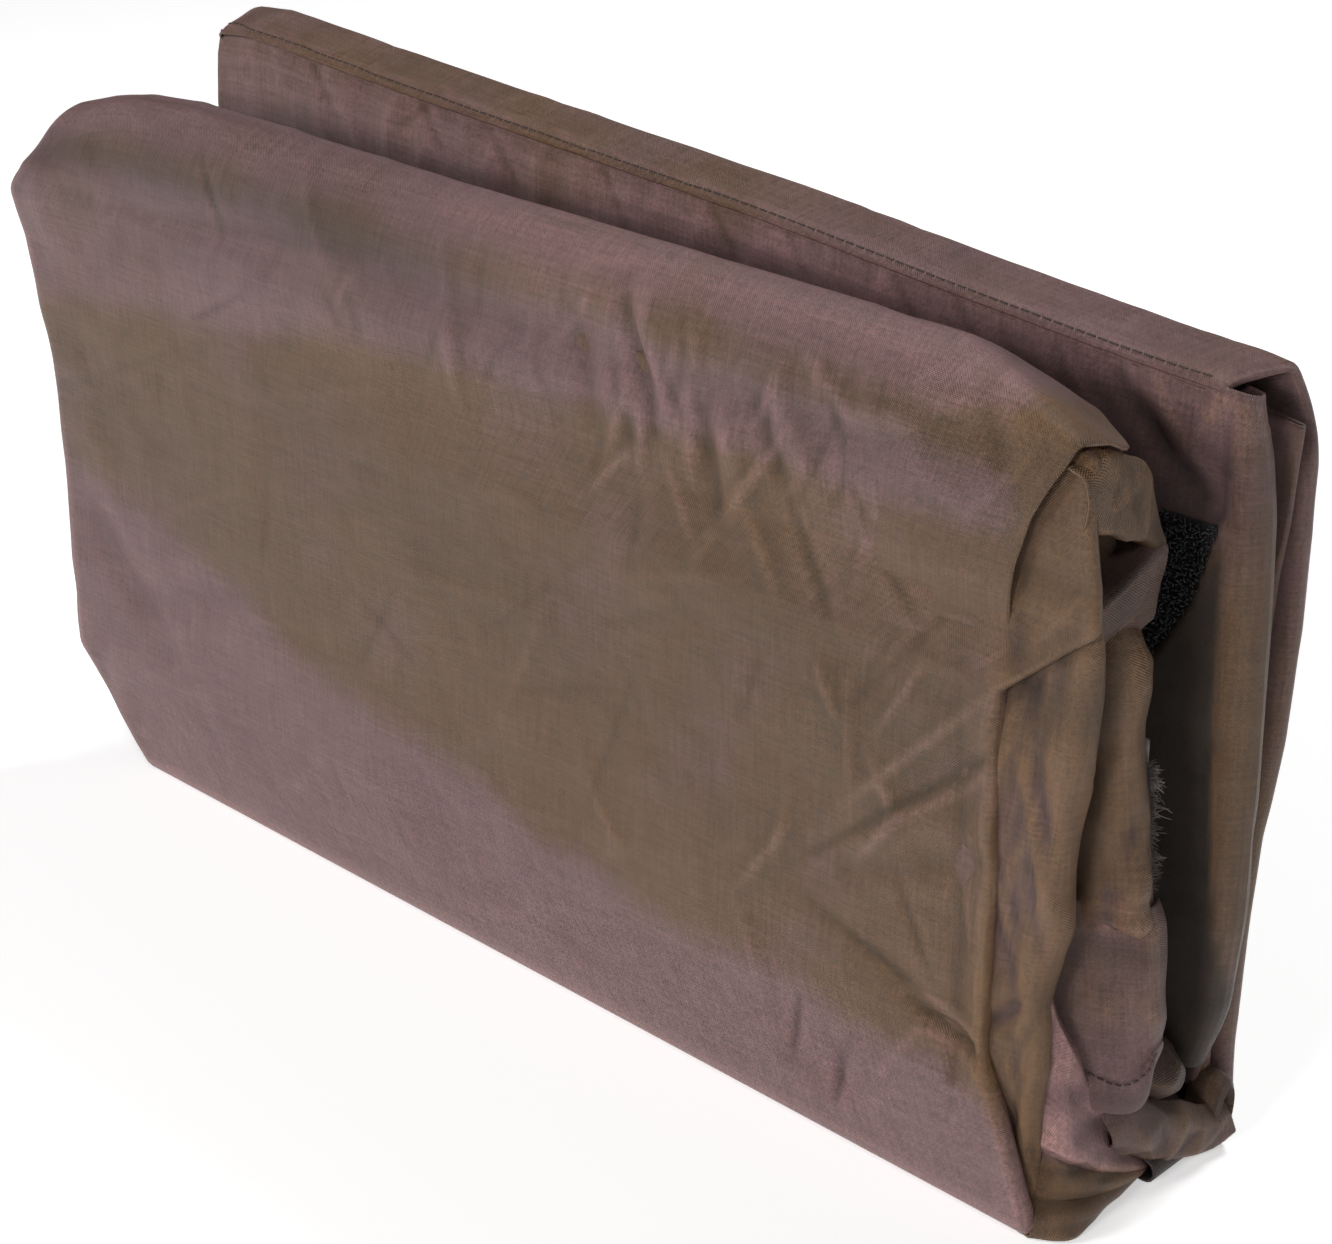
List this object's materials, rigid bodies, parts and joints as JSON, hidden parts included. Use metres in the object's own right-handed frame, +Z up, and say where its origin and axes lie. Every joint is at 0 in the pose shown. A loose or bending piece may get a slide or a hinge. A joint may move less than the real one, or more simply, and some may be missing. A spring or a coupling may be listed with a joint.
{
  "type": "folded spa cover",
  "caption": "Fabric spa cover folded into a thick pack on its folded edge: two halves open like a book from a spine, each with a hinged inner flap.",
  "frame": {"origin": "middle of the underside, on the surface the folded pack stands on", "axes": "+X along the pack towards its open fold edges, -Y out of the front face, +Z up"},
  "size_m": [0.488, 0.096, 0.278],
  "materials": {
    "cover_cloth": "coated plain weave, soft satin sheen, brown",
    "thread": "matt polyester thread, brown",
    "hook_tape": "fuzzy grey hook-and-loop tape",
    "loop_tape": "black napped loop tape"
  },
  "bodies": {
    "spine": {"spine_band": "cover_cloth", "spine_inner_ply": "cover_cloth", "end_gusset": "cover_cloth"},
    "front_half": {"front_bottom_fold": "cover_cloth", "front_outer_leaf": "cover_cloth", "front_second_leaf": "cover_cloth", "front_core_leaf": "cover_cloth", "front_ridge_fold": "cover_cloth", "front_dog_ear": "cover_cloth"},
    "front_flap": {"front_flap_leaf": "cover_cloth", "front_flap_hem": "cover_cloth", "front_hem_stitches": "thread", "hook_patch": "hook_tape", "hook_patch_stitches": "thread"},
    "back_half": {"back_bottom_fold": "cover_cloth", "back_outer_leaf": "cover_cloth", "back_second_leaf": "cover_cloth", "back_inner_fold": "cover_cloth", "back_ridge_fold": "cover_cloth", "back_seam_lap": "cover_cloth", "back_seam_stitches": "thread"},
    "back_flap": {"back_flap_leaf": "cover_cloth", "back_flap_hem": "cover_cloth", "back_hem_stitches": "thread", "back_edge_roll": "cover_cloth", "loop_patch": "loop_tape", "loop_patch_stitches": "thread"}
  },
  "joints": [
    {"name": "front_half_fold", "type": "hinge", "parent": "spine", "child": "front_half", "pos_m": [0, -0.04, 0.008], "axis": [1, 0, 0], "range_deg": [0, 90]},
    {"name": "front_flap_fold", "type": "hinge", "parent": "front_half", "child": "front_flap", "pos_m": [0, -0.01675, 0.23625], "axis": [1, 0, 0], "range_deg": [0, 17]},
    {"name": "back_half_fold", "type": "hinge", "parent": "spine", "child": "back_half", "pos_m": [0, 0.04, 0.008], "axis": [-1, 0, 0], "range_deg": [0, 90]},
    {"name": "back_flap_fold", "type": "hinge", "parent": "back_half", "child": "back_flap", "pos_m": [0.01234, 0.01825, 0.25524], "axis": [-0.9994, 0, 0.0349], "range_deg": [0, 17]}
  ],
  "couplings": [
    {"joint": "front_flap_fold", "follows": "front_half_fold", "ratio": 0.18},
    {"joint": "back_flap_fold", "follows": "back_half_fold", "ratio": 0.18}
  ]
}
